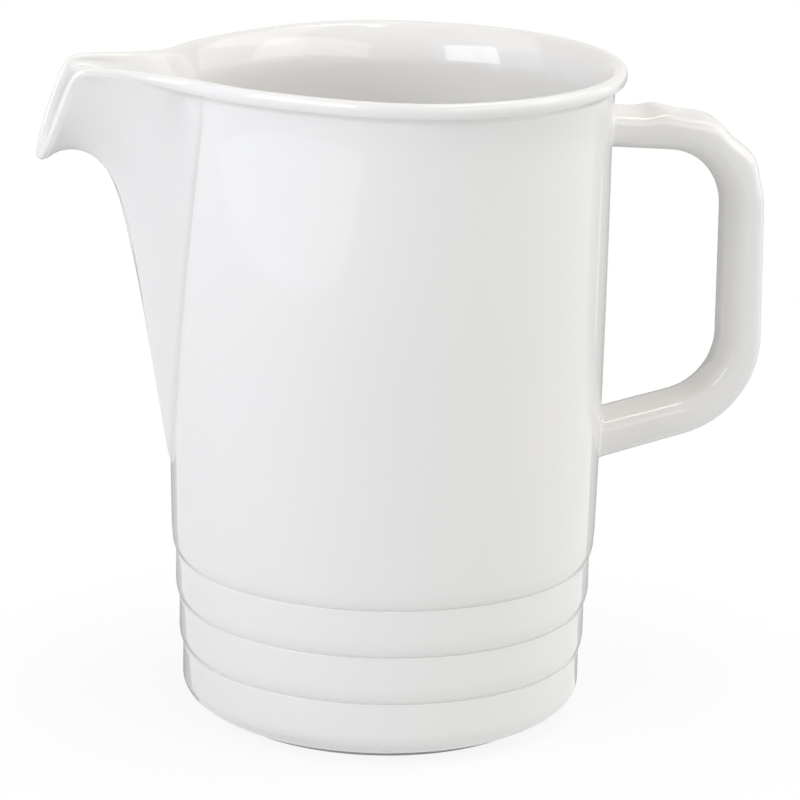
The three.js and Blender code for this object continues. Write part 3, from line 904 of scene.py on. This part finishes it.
def thumbRidges(tree, given, reach, high):
    # a wave along the outer face, only over its own stretch of the path
    distance = addNode(tree, sums, take, {0: reach, 1: given["ridgeStart"]})[0]
    turns = addNode(tree, sums, divide, {0: distance, 1: given["ridgePitch"]})[0]
    lastTurn = addNode(tree, sums, take, {0: given["ridgeCount"], 1: 0.5})[0]
    afterStart = addNode(tree, sums, greater, {0: turns, 1: -0.5})[0]
    beforeEnd = addNode(tree, sums, lesser, {0: turns, 1: lastTurn})[0]
    nearRidge = addNode(tree, sums, times, {0: afterStart, 1: beforeEnd})[0]
    phase = addNode(tree, sums, times, {0: turns, 1: 2 * math.pi})[0]
    crest = addNode(tree, sums, cosine, {0: phase})[0]
    wave = addNode(tree, "ShaderNodeMapRange", None,
                   {0: crest, 1: -1.0, 2: 1.0, 3: 0.0, 4: given["ridgeHeight"]})[0]
    swell = addNode(tree, sums, times, {0: wave, 1: nearRidge})[0]
    outerOnly = addNode(tree, sums, larger, {0: high, 1: 0.0})[0]
    return addNode(tree, sums, times, {0: swell, 1: outerOnly})[0]


def makeStrapTree():
    tree = bpy.data.node_groups.new("strap_handle", "GeometryNodeTree")
    tree.interface.new_socket("Geometry", in_out="INPUT", socket_type="NodeSocketGeometry")
    for name in strapLengths + strapNumbers:
        tree.interface.new_socket(name, in_out="INPUT", socket_type="NodeSocketFloat")
    tree.interface.new_socket("material", in_out="INPUT", socket_type="NodeSocketMaterial")
    tree.interface.new_socket("Geometry", in_out="OUTPUT", socket_type="NodeSocketGeometry")
    given = addNode(tree, "NodeGroupInput")
    path = strapPath(tree, given)
    skin, angle, along, inside = strapGrid(tree)
    high, wide = strapSection(tree, given, angle)
    length = addNode(tree, "GeometryNodeCurveLength", None, {0: path})[0]
    reach = addNode(tree, sums, times, {0: along, 1: length})[0]
    lift = thumbRidges(tree, given, reach, high)

    # size of the section along the path, nothing in the collapsed rows
    eased = addNode(tree, sums, power, {0: along, 1: given["thickEase"]})[0]
    thick = addNode(tree, "ShaderNodeMix", None, {0: eased, 2: given["thickTop"], 3: given["thickLow"]})[0]
    width = addNode(tree, "ShaderNodeMix", None, {0: along, 2: given["widthTop"], 3: given["widthLow"]})[0]
    halfThick = addNode(tree, sums, times, {0: thick, 1: 0.5})[0]
    halfWidth = addNode(tree, sums, times, {0: width, 1: 0.5})[0]
    rise = addNode(tree, sums, timesAdd, {0: high, 1: halfThick, 2: lift})[0]
    spread = addNode(tree, sums, times, {0: wide, 1: halfWidth})[0]
    offset = addNode(tree, sums, times, {0: rise, 1: inside})[0]
    aside = addNode(tree, sums, times, {0: spread, 1: inside})[0]

    # each point goes to its place round the path
    sample = addNode(tree, "GeometryNodeSampleCurve", {"mode": "FACTOR", "data_type": "FLOAT"},
                     {"Curves": path, "Factor": along})
    outward = addNode(tree, vectors, {"operation": "CROSS_PRODUCT"},
                      {0: sample["Tangent"], 1: lateral.tolist()})[0]
    outStep = addNode(tree, vectors, {"operation": "SCALE"}, {0: outward, "Scale": offset})[0]
    sideStep = addNode(tree, "ShaderNodeCombineXYZ", None, {"Y": aside})[0]
    step = addNode(tree, vectors, add, {0: outStep, 1: sideStep})[0]
    place = addNode(tree, vectors, add, {0: sample["Position"], 1: step})[0]
    moved = addNode(tree, "GeometryNodeSetPosition", None, {"Geometry": skin, "Position": place})
    closed = addNode(tree, "GeometryNodeMergeByDistance", None,
                     {"Geometry": moved[0], "Distance": mergeDistance})
    solid = addNode(tree, "GeometryNodeRealizeInstances", None, {"Geometry": closed[0]})
    coated = addNode(tree, "GeometryNodeSetMaterial", None,
                     {"Geometry": solid[0], "Material": given["material"]})
    addNode(tree, "NodeGroupOutput", None, {0: coated[0]})
    return tree


upperRoot, upperCorner, lowerCorner, lowerRoot = strapCorners()


def buildHandle():
    start = upperRoot - unit(upperCorner - upperRoot) * strap["rootDepth"]
    end = lowerRoot - unit(lowerCorner - lowerRoot) * strap["rootDepth"]
    corners = [((bodyAxis + p[0]) * mm, 0.0, p[1] * mm) for p in (start, upperCorner, lowerCorner, end)]
    mesh = bpy.data.meshes.new("strap_path")
    mesh.from_pydata(corners, [(0, 1), (1, 2), (2, 3)], [])
    piece = putInScene("strap_handle", mesh)
    tree = makeStrapTree()
    modifier = piece.modifiers.new("strap", "NODES")
    modifier.node_group = tree
    values = {name: float(strap[name]) for name in strapNumbers}
    values.update({name: strap[name] * mm for name in strapLengths})
    values["ridgeStart"] += strap["rootDepth"] * mm
    values["material"] = porcelain
    for item in tree.interface.items_tree:
        if item.in_out == "INPUT" and item.name in values:
            modifier[item.identifier] = values[item.name]
    graph = bpy.context.evaluated_depsgraph_get()
    made = bpy.data.meshes.new_from_object(piece.evaluated_get(graph))
    piece.modifiers.remove(modifier)
    piece.data = made
    made.name = "strap_handle"
    finishMesh(made, strap["sharpAngle"])
    return piece


handlePiece = buildHandle()
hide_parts("handle")

# Slip joints: the small fillets where the strap meets the wall

joint = {
    "fillet": 1.5,
    "sink": 0.6,
    "bury": 0.03,
    "sides": 96,
    "steps": 7,
    "seatings": 12,
    "sharpAngle": 60,
}


def buildJoint(name, root, towards, outerSign, width, thick):
    # one ring, from the wall over a hollow fillet onto the strap
    angle = np.linspace(0, 2 * np.pi, joint["sides"] + 1)[:-1]
    run = unit(towards - root)
    ahead = onMidPlane(run)
    outerSide = onMidPlane(outerSign * np.array([-run[1], run[0]]))
    square = np.where(np.sin(angle) > 0, strap["squareOut"], strap["squareIn"])
    high = np.sign(np.sin(angle)) * np.abs(np.sin(angle)) ** (2 / square)
    wide = np.sign(np.cos(angle)) * np.abs(np.cos(angle)) ** (2 / square)
    steepHigh = np.sign(high) * np.abs(high) ** (square - 1) / (thick / 2)
    steepWide = np.sign(wide) * np.abs(wide) ** (square - 1) / (width / 2)
    normal = unit(np.outer(steepHigh, outerSide) + np.outer(steepWide, lateral))
    section = np.outer(high * thick / 2, outerSide) + np.outer(wide * width / 2, lateral)
    contact = onMidPlane(root) + section
    for _ in range(joint["seatings"]):
        gap = wallOuter(contact[:, 2]) - np.hypot(contact[:, 0], contact[:, 1])
        contact = contact + np.outer(gap / run[0], ahead)
    radial = unit(np.column_stack([contact[:, 0], contact[:, 1], 0 * angle]))
    slide = unit(normal - radial * np.sum(normal * radial, axis=1, keepdims=True))
    onWall = contact + slide * joint["fillet"]
    reach = np.hypot(onWall[:, 0], onWall[:, 1])
    onWall[:, :2] *= ((wallOuter(onWall[:, 2]) - joint["bury"]) / reach)[:, None]
    onStrap = contact + ahead * joint["fillet"] - normal * joint["bury"]
    back = contact - radial * joint["sink"] - normal * joint["sink"]
    face = np.moveaxis(bezier([onWall, contact, onStrap], joint["steps"]), 0, 1)
    loop = np.concatenate([face, back[:, None, :], onWall[:, None, :]], axis=1)
    loop = np.concatenate([loop, loop[:1]], axis=0)
    loop[..., 0] *= -1
    faces = gridFaces(0, loop.shape[0], loop.shape[1])
    return addPiece(name, loop, faces, porcelain, joint["sharpAngle"])


upperJoint = buildJoint("upper_slip_joint", upperRoot, upperCorner, 1,
                        strap["widthTop"], strap["thickTop"])
lowerJoint = buildJoint("lower_slip_joint", lowerRoot, lowerCorner, -1,
                        strap["widthLow"], strap["thickLow"])
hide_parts("upper_handle_slip_joint")
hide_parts("lower_handle_slip_joint")

for piece in (bodyPiece, spoutPiece, seamPiece, handlePiece, upperJoint, lowerJoint):
    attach(piece, "root")
print("pieces placed")

# Stage: white table, grey card, soft light and the camera

studio = {
    "floorSize": 6000.0,
    "floorColour": "#e8e9ea",
    "whiteFrom": 40.0,
    "whiteTo": 130.0,
    "whiteNear": 0.88,
    "world": 0.25,
    "paperRoughness": 0.9,
    "cardColour": "#b0b0b0",
    "cardNear": (-56.0, 48.0),
    "cardFar": (-140.0, 345.0),
    "cardAt": 260.0,
    "cardLift": 0.2,
    "cardHigh": 130.0,
    "camera": (-186.5, -890.1, 324.6),
    "target": (-0.55, -0.67, 74.85),
    "roll": 0.0218,
    "lens": 180.0,
}


def whiteRays(tree):
    # 1 for the rays that show the background itself or its mirror image, 0 for the light on the object
    path = addNode(tree, "ShaderNodeLightPath")
    mirrored = addNode(tree, sums, larger, {0: path["Is Glossy Ray"], 1: path["Is Transmission Ray"]})
    return addNode(tree, sums, larger, {0: path["Is Camera Ray"], 1: mirrored[0]})[0]


def buildTable():
    # white paper: the jug's shadow stays near the foot, further out the paper shows as plain white
    half = studio["floorSize"] * mm / 2
    corners = [(-half, -half, 0), (half, -half, 0), (half, half, 0), (-half, half, 0)]
    mesh = bpy.data.meshes.new("table")
    mesh.from_pydata(corners, [], [(0, 1, 2, 3)])
    material, tree, shader = startMaterial("white_paper")
    shader.inputs["Base Color"].default_value = hexToLinear(studio["floorColour"])
    shader.inputs["Roughness"].default_value = studio["paperRoughness"]
    shader.inputs["Specular IOR Level"].default_value = 0.0
    place = addNode(tree, "ShaderNodeTexCoord")["Object"]
    reach = addNode(tree, vectors, {"operation": "LENGTH"}, {0: place})
    share = addNode(tree, "ShaderNodeMapRange", {"interpolation_type": "SMOOTHSTEP"},
                    {0: reach["Value"], 1: studio["whiteFrom"] * mm, 2: studio["whiteTo"] * mm,
                     3: studio["whiteNear"], 4: 1.0})
    shown = addNode(tree, sums, times, {0: share[0], 1: whiteRays(tree)})
    white = addNode(tree, "ShaderNodeEmission")
    mixed = addNode(tree, "ShaderNodeMixShader", None, {0: shown[0], 1: shader.outputs[0], 2: white[0]})
    tree.links.new(mixed[0], tree.nodes["Material Output"].inputs["Surface"])
    mesh.materials.append(material)
    table = putInScene("table", mesh)


def buildCard():
    # a grey card behind the jug that only shows in its mirror images: it draws the outlines
    near = studio["cardNear"]
    far = studio["cardFar"]
    lift = studio["cardLift"]
    back = studio["cardAt"]
    rows = [(near, 0.0, lift), (far, back, lift), (far, back, studio["cardHigh"])]
    corners = [(x * mm, y * mm, z * mm) for ends, y, z in rows for x in ends]
    mesh = bpy.data.meshes.new("grey_card")
    mesh.from_pydata(corners, [], [(0, 1, 3, 2), (2, 3, 5, 4)])
    material, _, shader = startMaterial("grey_card_paper")
    shader.inputs["Base Color"].default_value = hexToLinear(studio["cardColour"])
    shader.inputs["Roughness"].default_value = studio["paperRoughness"]
    mesh.materials.append(material)
    card = putInScene("grey_card", mesh)
    card.visible_camera = False
    card.visible_diffuse = False
    card.visible_shadow = False


def buildSky():
    world = bpy.data.worlds.new("studio")
    bpy.context.scene.world = world
    world.use_nodes = True
    sky = world.node_tree
    strength = addNode(sky, "ShaderNodeMapRange", None, {0: whiteRays(sky), 3: studio["world"], 4: 1.0})
    background = sky.nodes["Background"]
    background.inputs["Color"].default_value = (1.0, 1.0, 1.0, 1.0)
    sky.links.new(strength[0], background.inputs["Strength"])


# The window's mirror image is the light patch on the left of the wall

lamps = {
    "window": {"at": (-415, -117, 360), "aim": (-11, 30, 360), "size": (640, 600),
               "watts": 0.95, "tint": "#eaf0ff"},
    "frontLeft": {"at": (-864, -503, 560), "aim": (0, 0, 560), "size": (600, 500),
                  "watts": 4.3, "tint": "#f3f7ff"},
    "frontRight": {"at": (640, -630, 580), "aim": (0, 0, 580), "size": (1400, 500),
                   "watts": 4.0, "tint": "#fcfdff"},
    "sideRight": {"at": (700, -22, 360), "aim": (0, 0, 360), "size": (800, 600),
                  "watts": 1.3, "tint": "#f2f8fc"},
    "topLeft": {"at": (-700, 0, 800), "aim": (0, 0, 100), "size": (600, 600),
                "watts": 1.0, "tint": "#fff3e6"},
    "topRight": {"at": (700, 0, 800), "aim": (0, 0, 100), "size": (600, 600),
                 "watts": 1.5, "tint": "#fdfdff"},
    "top": {"at": (240, -160, 1000), "aim": (60, 0, 140), "size": (700, 160),
            "watts": 2.4, "tint": "#fff6ec"},
}


def hangLamps():
    for name, lamp in lamps.items():
        light = bpy.data.lights.new(name, "AREA")
        light.shape = "RECTANGLE"
        light.size = lamp["size"][0] * mm
        light.size_y = lamp["size"][1] * mm
        light.energy = lamp["watts"]
        light.color = hexToLinear(lamp["tint"])[:3]
        hung = putInScene(name, light)
        spot = Vector(lamp["at"]) * mm
        ahead = Vector(lamp["aim"]) * mm - spot
        hung.location = spot
        hung.rotation_euler = ahead.to_track_quat("-Z", "Y").to_euler()
        hung.visible_camera = False


def aimCamera():
    camera = putInScene("camera", bpy.data.cameras.new("camera"))
    camera.data.lens = studio["lens"]
    spot = Vector(studio["camera"])
    ahead = (Vector(studio["target"]) - spot).normalized()
    right = ahead.cross(Vector((0, 0, 1))).normalized()
    up = right.cross(ahead)
    tilt = studio["roll"]
    across = right * math.cos(tilt) + up * math.sin(tilt)
    upward = up * math.cos(tilt) - right * math.sin(tilt)
    pose = Matrix((across, upward, -ahead)).transposed().to_4x4()
    pose.translation = spot * mm
    camera.matrix_world = pose
    bpy.context.scene.camera = camera


buildTable()
buildCard()
buildSky()
hangLamps()
aimCamera()
bpy.context.scene.view_settings.view_transform = "Standard"
print("stage set")
